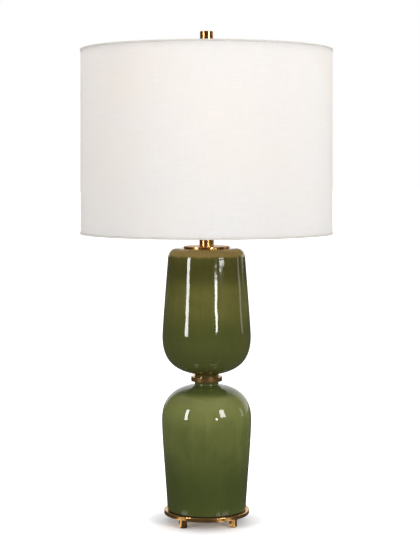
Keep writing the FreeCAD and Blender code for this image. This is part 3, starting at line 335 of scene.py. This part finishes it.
def make_clear_glass():
    """Clear drawn glass with a few seeds."""
    made, g = material("stem_glass")
    place = g.place()
    seeds = g.noise(place, 500.0, 2.0)
    colour = g.mix(g.fit(seeds, 0.5, 0.8), tone(246, 250, 248), tone(225, 234, 230))
    g.out(g.shader(Base_Color=colour, Roughness=g.fit(seeds, 0.3, 0.8, 0.03, 0.12),
                   Transmission_Weight=1.0, IOR=STEM_IOR,
                   Normal=g.bump(seeds, 0.02 * MM)))
    return made


# Upper jar: a band of painted shade under the shoulder, painted shade over the lower belly, and a
# darker brown band at the foot.
upper_glaze = make_glaze("olive_glaze_upper", tone(94, 93, 46), tone(80, 81, 39),
                         tone(106, 102, 56), tone(144, 122, 68), 0.4125, 0.4165,
                         [(0.375, 0.410, 0.012, tone(62, 62, 26), 0.62),
                          (0.245, 0.320, 0.022, tone(66, 72, 32), 0.75),
                          (0.220, 0.236, 0.008, tone(78, 62, 34), 0.55)])
# Lower jar: a darker olive at its top under the waist ring, painted shade towards the bottom, a
# band of painted light on the shoulder, and painted shade under the waist ring.
lower_glaze = make_glaze("olive_glaze_lower", tone(99, 104, 54), tone(84, 91, 45),
                         tone(118, 123, 70), tone(84, 88, 48), 0.2150, 0.2200,
                         [(0.0, 0.110, 0.05, tone(58, 68, 29), 0.85),
                          (0.166, 0.203, 0.018, tone(122, 126, 74), 0.5),
                          (0.204, 0.230, 0.004, tone(58, 68, 32), 0.75)])
antique_brass = make_metal("antique_brass", tone(230, 180, 112), tone(170, 116, 62), 0.15, 0.24)
stamped_brass = make_metal("stamped_brass", tone(224, 186, 112), tone(170, 126, 62), 0.2, 0.34)
bulb_alloy = make_metal("cap_alloy", tone(214, 212, 206), tone(168, 164, 156), 0.24, 0.38)
zinc_steel = make_metal("zinc_steel", tone(196, 196, 192), tone(140, 138, 130), 0.28, 0.42)
plated_wire = make_wire("plated_wire", tone(218, 180, 112), tone(150, 116, 66), 0.22)
dull_wire = make_wire("nickel_wire", tone(200, 198, 192), tone(142, 138, 130), 0.3)
rubber = make_moulded("dark_rubber", tone(38, 37, 35), tone(54, 52, 49), 0.78, 500.0, 0.06 * MM)
bushing = make_moulded("bushing_plastic", tone(30, 29, 28), tone(42, 41, 39), 0.42)
moulded = make_moulded("phenolic", tone(34, 27, 23), tone(52, 41, 34), 0.34)
insulator = make_moulded("black_glass", tone(18, 17, 20), tone(34, 32, 38), 0.18)
card = make_card()
linen = make_cloth("shade_linen", tone(250, 250, 250), tone(244, 243, 242), tone(251, 246, 241),
                   pitch=0.75 * MM, pass_light=0.42, slub=1.0, depth=0.05 * MM)
# The tape's colours are greyer than the linen's: painted shade along the rolled rims.
tape = make_cloth("trim_tape", tone(236, 231, 224), tone(206, 200, 192), tone(230, 222, 213),
                  pitch=0.6 * MM, pass_light=0.12, slub=0.5, depth=0.1 * MM)
lining = make_lining()
bulb_glass = make_bulb_glass()
stem_glass = make_clear_glass()

paint(upper_glaze, "upper_jar")
paint(lower_glaze, "lower_jar")
paint(antique_brass, "base_disc", "feet", "waist_ring", "cap_disc", "neck_tube", "neck_top_ring",
      "finial_base", "finial_knob")
paint(zinc_steel, "foot_screws", "base_washer", "lock_washer", "base_nut", "threaded_pipe",
      "lower_centring_plate", "neck_locknut", "seat_washer", "terminal_screws", "switch_spindle")
paint(plated_wire, "harp_saddle", "harp_bow", "harp_stud", "harp_ferrule_left",
      "harp_ferrule_right")
paint(dull_wire, "spider_hub", "spider_arms", "shade_top_ring", "shade_bottom_ring",
      "bulb_filament")
paint(stamped_brass, "socket_cap", "socket_shell", "screw_shell", "centre_contact")
paint(card, "socket_liner")
paint(rubber, "foot_pads", "base_gasket", "neck_gaskets")
paint(bushing, "cord_bushing")
paint(moulded, "socket_body", "switch_rotor", "switch_knob")
paint(insulator, "bulb_insulator")
paint(bulb_alloy, "bulb_cap", "bulb_contact")
paint(bulb_glass, "bulb_glass")
paint(stem_glass, "bulb_stem")
paint(lining, "shade_liner")


# ---------------------------------------------------------------- meshes
def add_mesh(name, points, faces, body, finish, uvs=None):
    """A smooth-shaded mesh piece that rides a body."""
    mesh = bpy.data.meshes.new(name)
    mesh.from_pydata(points, [], faces)
    mesh.update()
    mesh.shade_smooth()
    if uvs is not None:
        layer = mesh.uv_layers.new(name="UVMap")
        for polygon in mesh.polygons:
            for corner, uv in zip(polygon.loop_indices, uvs[polygon.index]):
                layer.data[corner].uv = uv
    mesh.materials.append(finish)
    piece = bpy.data.objects.new(name, mesh)
    bpy.context.scene.collection.objects.link(piece)
    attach(piece, body)
    return piece


def turned_grid(profile, columns, place):
    """Closed profile carried once round the axis. place(r, z, angle) gives each point."""
    rows = len(profile)
    points = [place(r, z, 2 * math.pi * column / columns)
              for column in range(columns) for r, z in profile]
    faces = []
    for column in range(columns):
        here, there = column * rows, (column + 1) % columns * rows
        for row in range(rows):
            after = (row + 1) % rows
            faces.append((here + row, there + row, there + after, here + after))
    return points, faces


def cloth_uvs(profile, columns, radius):
    """UV of each face in metres: round the shade, and along the section."""
    rows = len(profile)
    run = [0.0]
    for row in range(rows):
        a, b = profile[row], profile[(row + 1) % rows]
        run.append(run[-1] + math.dist(a, b))
    uvs = []
    for column in range(columns):
        left = 2 * math.pi * radius * column / columns
        right = 2 * math.pi * radius * (column + 1) / columns
        for row in range(rows):
            low, high = run[row], run[row + 1]
            uvs.append([(left, low), (right, low), (right, high), (left, high)])
    return uvs


fabric_low, fabric_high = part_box("shade_fabric")
SHADE_LOW, SHADE_HIGH = fabric_low.z, fabric_high.z
SHADE_R_LOW, SHADE_R_HIGH = 192.5 * MM, 190.5 * MM
COLUMNS = 720                # faces round the shade
LINEN_ROWS = 70
FABRIC = 0.7 * MM
SEAM_ANGLE = math.pi / 2     # the lapped seam is at the back
SEAM_WIDTH = 11 * MM
SEAM_PROUD = 0.5 * MM
SEAM_RISE, SEAM_FALL = 5 * MM, 0.8 * MM
RIPPLE = 0.25 * MM           # depth of the linen's unevenness
CALM, SLACK = 3 * MM, 8 * MM  # it starts between these distances from a rim
TRIM = 0.5 * MM
TRIM_PROUD = 0.6 * MM
TRIM_DEPTH = 5.8 * MM
TRIM_OUTER_DROP = 2.6 * MM
TRIM_INNER_DROP = 8.0 * MM


def shade_r(z):
    """Outer radius of the tapered shade at a height."""
    share = (z - SHADE_LOW) / (SHADE_HIGH - SHADE_LOW)
    return SHADE_R_LOW + (SHADE_R_HIGH - SHADE_R_LOW) * share


def ease(value, low, high):
    """0 up to low, 1 from high on, and smooth between them."""
    share = min(max((value - low) / (high - low), 0.0), 1.0)
    return share * share * (3 - 2 * share)


def linen_point(r, z, angle):
    """r is 0 on the outer face and -FABRIC on the inner one. The outer face has the lapped seam."""
    outer = shade_r(z)
    rim = min(ease(z, SHADE_LOW + CALM, SHADE_LOW + SLACK),
              ease(SHADE_HIGH - z, CALM, SLACK))
    ripple = (0.14 * math.sin(9 * angle + 11 * z) + 0.10 * math.sin(23 * angle - 26 * z + 1.0)
              + 0.06 * math.sin(41 * angle + 55 * z))
    radius = outer + r
    if r > -FABRIC / 2:
        across = (angle - SEAM_ANGLE) * outer
        lap = ease(across, -SEAM_WIDTH / 2, -SEAM_WIDTH / 2 + SEAM_RISE) * (
            1 - ease(across, SEAM_WIDTH / 2, SEAM_WIDTH / 2 + SEAM_FALL))
        radius += rim * (SEAM_PROUD * lap + RIPPLE * ripple)
    return (radius * math.cos(angle), radius * math.sin(angle), z)


def build_linen():
    """The linen as one closed skin with both its faces."""
    heights = [SHADE_LOW + (SHADE_HIGH - SHADE_LOW) * row / LINEN_ROWS
               for row in range(LINEN_ROWS + 1)]
    profile = [(0.0, z) for z in heights] + [(-FABRIC, z) for z in reversed(heights)]
    points, faces = turned_grid(profile, COLUMNS, linen_point)
    return add_mesh("shade_linen", points, faces, "shade", linen,
                    cloth_uvs(profile, COLUMNS, SHADE_R_LOW))


def rounded(corners, turns=4):
    """A closed outline with each (r, z, radius) corner rounded."""
    outline = []
    count = len(corners)
    for index, (r, z, size) in enumerate(corners):
        here = Vector((r, z))
        before = Vector(corners[index - 1][:2]) - here
        after = Vector(corners[(index + 1) % count][:2]) - here
        size = min(size, before.length * 0.49, after.length * 0.49)
        start, end = here + before.normalized() * size, here + after.normalized() * size
        for step in range(turns + 1):
            t = step / turns
            outline.append(tuple((1 - t) ** 2 * start + 2 * t * (1 - t) * here + t * t * end))
    return outline


def build_trim(name, node, way):
    """Tape folded over a rim: a short leg outside and a long one inside, with a woven edge.
    way is 1 for the top rim and -1 for the bottom one."""
    low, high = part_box(node)
    rim = high.z if way > 0 else low.z
    outer = shade_r(rim) + TRIM_PROUD
    inner = outer - TRIM_DEPTH

    def leg(r, drop, size):
        return (r, rim - way * drop, size * MM)

    corners = [leg(outer, TRIM_OUTER_DROP, 0.2), leg(outer, 0, 0.9), leg(inner, 0, 0.9),
               leg(inner, TRIM_INNER_DROP, 0.2), leg(inner + TRIM, TRIM_INNER_DROP, 0.2),
               leg(inner + TRIM, TRIM, 0.4), leg(outer - TRIM, TRIM, 0.3),
               leg(outer - TRIM, TRIM_OUTER_DROP, 0.1)]
    profile = rounded(corners)
    if way > 0:
        profile.reverse()

    def place(r, z, angle):
        wave = 0.08 * MM * math.sin(37 * angle + way) + 0.06 * MM * math.sin(83 * angle)
        drop = abs(z - rim) / TRIM_INNER_DROP
        return (r * math.cos(angle), r * math.sin(angle), z + wave * drop)

    points, faces = turned_grid(profile, COLUMNS, place)
    return add_mesh(name, points, faces, "shade", tape,
                    cloth_uvs(profile, COLUMNS, outer))


linen_piece = build_linen()
top_trim = build_trim("trim_top", "shade_top_trim", 1)
bottom_trim = build_trim("trim_bottom", "shade_bottom_trim", -1)
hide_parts("shade_fabric")
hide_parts("shade_top_trim")
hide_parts("shade_bottom_trim")


# ---------------------------------------------------------------- studio
def grey(level):
    return (level, level, level, 1.0)


FLOOR_HALF = 30.0
FLOOR_PAPER = 0.92           # the paper as the camera sees it, and as it lights the lamp
FLOOR_PLAIN = 0.40
FLOOR_MIRRORED = 0.09        # the darker floor that metal and glaze mirror
# Less glow near the lamp paints a darker shadow round its base, on top of the real contact shadow.
GLOW_FROM, GLOW_TO = 0.06, 0.14   # the paper's glow grows between these distances
PAINTED_SHADOW_GLOW, GLOW_HIGH = 0.10, 0.7
# Light patches on the floor close to the lamp, for the feet and the disc to mirror:
# degrees right of the front, half their width in degrees, and strength.
PATCHES = ((-56.0, 9.0, 1.3), (23.0, 4.0, 1.5), (41.0, 7.0, 1.0))
PATCH_SOFT = 1.5
PATCH_FROM, PATCH_TO = 0.125, 0.145


def make_floor():
    """Plain pale paper that keeps the contact shadow, deepened round the base by painted shadow
    where its glow is weaker. It can be looked through from below.
    """
    mesh = bpy.data.meshes.new("floor")
    half = FLOOR_HALF
    mesh.from_pydata([(-half, -half, 0), (half, -half, 0), (half, half, 0), (-half, half, 0)],
                     [], [(0, 1, 2, 3)])
    floor = bpy.data.objects.new("floor", mesh)
    bpy.context.scene.collection.objects.link(floor)
    made, g = material("floor_paper")
    seen = g.node("LightPath")
    tint = g.mix(seen.outputs["Is Glossy Ray"], grey(FLOOR_PLAIN), grey(FLOOR_MIRRORED))
    plain = g.node("BsdfDiffuse", {"Color": tint}).outputs[0]
    x, y, _ = g.split(g.place())
    away = g.from_axis(x, y)
    bearing = g.math("ARCTAN2", x, g.math("MULTIPLY", y, -1.0))
    patches = None
    for azimuth, half_wide, strength in PATCHES:
        off = g.math("ABSOLUTE", g.math("SUBTRACT", bearing, math.radians(azimuth)))
        patch = g.fit(off, math.radians(half_wide + PATCH_SOFT),
                      math.radians(half_wide - PATCH_SOFT), 0.0, strength)
        patches = patch if patches is None else g.math("ADD", patches, patch)
    near = g.fit(away, PATCH_FROM, PATCH_TO, 1.0, 0.0)
    glare = g.math("MULTIPLY", g.math("MULTIPLY", patches, near), seen.outputs["Is Glossy Ray"])
    glare = g.node("Emission", {"Color": WHITE, "Strength": glare}).outputs[0]
    plain = g.node("AddShader", {0: plain, 1: glare}).outputs[0]
    paper = g.node("BsdfDiffuse", {"Color": grey(FLOOR_PAPER)}).outputs[0]
    # The glow is weakest near the lamp: painted shadow round the base.
    glow_round_painted_shadow = g.fit(away, GLOW_FROM, GLOW_TO, PAINTED_SHADOW_GLOW, GLOW_HIGH)
    glow = g.node("Emission", {"Color": WHITE, "Strength": glow_round_painted_shadow}).outputs[0]
    lit = g.node("AddShader", {0: paper, 1: glow}).outputs[0]
    top = g.node("MixShader", {0: seen.outputs["Is Camera Ray"], 1: plain, 2: lit}).outputs[0]
    clear = g.node("BsdfTransparent", {"Color": WHITE}).outputs[0]
    under = g.node("NewGeometry").outputs["Backfacing"]
    g.out(g.node("MixShader", {0: under, 1: top, 2: clear}).outputs[0])
    mesh.materials.append(made)


ROOM_LEAN = 0.277            # turns the border between room and white paper to the camera's side
ROOM_FLOOR = (0.045, 0.043, 0.04, 1.0)
ROOM_CEILING = grey(0.7)
AMBIENT_LEFT = grey(0.52)
AMBIENT_RIGHT = (0.90, 0.90, 0.92, 1.0)
AMBIENT_BEHIND = grey(1.15)


def make_world():
    """White to the camera. Metal and glaze see white behind the lamp and a dim room in front."""
    world = bpy.data.worlds.new("studio")
    bpy.context.scene.world = world
    g = Graph(world)
    way = g.split(g.node("TexCoord").outputs["Generated"])
    seen = g.node("LightPath").outputs
    side = g.math("ADD", way[1], g.math("MULTIPLY", way[0], ROOM_LEAN))
    behind = g.fit(side, 0.66, 0.88)
    above = g.fit(way[2], 0.35, 0.9, 0.0, 0.45)
    dim = g.mix(above, ROOM_FLOOR, ROOM_CEILING)
    mirrored = g.mix(behind, dim, WHITE)
    level = g.fit(way[0], -1.0, 1.0)
    ambient = g.mix(level, AMBIENT_LEFT, AMBIENT_RIGHT)
    ambient = g.mix(g.fit(way[1], 0.1, 1.0, 0.0, 0.7), ambient, AMBIENT_BEHIND)
    plain = g.node("Background", {"Color": ambient, "Strength": 1.0}).outputs[0]
    white = g.node("Background", {"Color": WHITE, "Strength": 1.0}).outputs[0]
    room = g.node("Background", {"Color": mirrored, "Strength": 1.0}).outputs[0]
    clear = g.math("MAXIMUM", seen["Is Camera Ray"], seen["Is Transmission Ray"])
    shown = g.node("MixShader", {0: seen["Is Glossy Ray"], 1: plain, 2: room}).outputs[0]
    shown = g.node("MixShader", {0: clear, 1: shown, 2: white}).outputs[0]
    g.node("OutputWorld", {"Surface": shown})


LIT_HEIGHT = 0.35
LIGHT_DISTANCE = 2.3
# azimuth in degrees right of the front, width, lowest and highest elevation, radiance
LIGHTS = {
    "strip_left": (-56.2, 8.5, -2.6, 28.0, 17.0),
    "box_right": (40.5, 14.0, 5.6, 30.0, 14.0),
    "strip_right": (22.8, 6.0, -0.9, 5.2, 22.0),
    "strip_side": (102.0, 6.0, -4.0, 14.0, 1.6),
}


def make_light(name, azimuth, wide, low, high, radiance):
    """A flat lamp as seen from the jars, between two elevations."""
    turn = math.radians(azimuth)
    out = Vector((math.sin(turn), -math.cos(turn), 0.0))
    bottom = LIT_HEIGHT + LIGHT_DISTANCE * math.tan(math.radians(low))
    top = LIT_HEIGHT + LIGHT_DISTANCE * math.tan(math.radians(high))
    lamp = bpy.data.lights.new(name, "AREA")
    lamp.shape = "RECTANGLE"
    lamp.size = 2 * LIGHT_DISTANCE * math.tan(math.radians(wide / 2))
    lamp.size_y = top - bottom
    lamp.energy = radiance * math.pi * lamp.size * lamp.size_y
    holder = bpy.data.objects.new(name, lamp)
    bpy.context.scene.collection.objects.link(holder)
    holder.location = out * LIGHT_DISTANCE + Vector((0, 0, (top + bottom) / 2))
    holder.rotation_euler = (-out).to_track_quat("-Z", "Y").to_euler()


BULB_WATTS = 0.9
BULB_RADIUS = 12 * MM
BULB_COLOUR = (1.0, 0.77, 0.52)
BULB_HEIGHT = 0.662


def make_bulb_light():
    """The faint warm light inside the shade."""
    lamp = bpy.data.lights.new("bulb_light", "POINT")
    lamp.shadow_soft_size = BULB_RADIUS
    lamp.energy = BULB_WATTS
    lamp.color = BULB_COLOUR
    holder = bpy.data.objects.new("bulb_light", lamp)
    bpy.context.scene.collection.objects.link(holder)
    holder.location = (0.0, 0.0, BULB_HEIGHT)


CAMERA_PLACE = (-0.1185, -2.1878, 0.5503)
CAMERA_DOWN = 4.53           # degrees below level
CAMERA_RIGHT = 3.236         # degrees right of straight ahead
CAMERA_LENS, CAMERA_FILM = 92.0, 36.0


def make_camera():
    """The camera of the photograph."""
    camera = bpy.data.objects.new("camera", bpy.data.cameras.new("camera"))
    camera.data.lens = CAMERA_LENS
    camera.data.sensor_width = CAMERA_FILM
    camera.location = CAMERA_PLACE
    camera.rotation_euler = Euler((math.radians(90 - CAMERA_DOWN), 0.0,
                                   math.radians(-CAMERA_RIGHT)))
    bpy.context.scene.collection.objects.link(camera)
    bpy.context.scene.camera = camera


make_floor()
make_world()
for light, settings in LIGHTS.items():
    make_light(light, *settings)
make_bulb_light()
make_camera()
bpy.context.scene.view_settings.view_transform = "Standard"
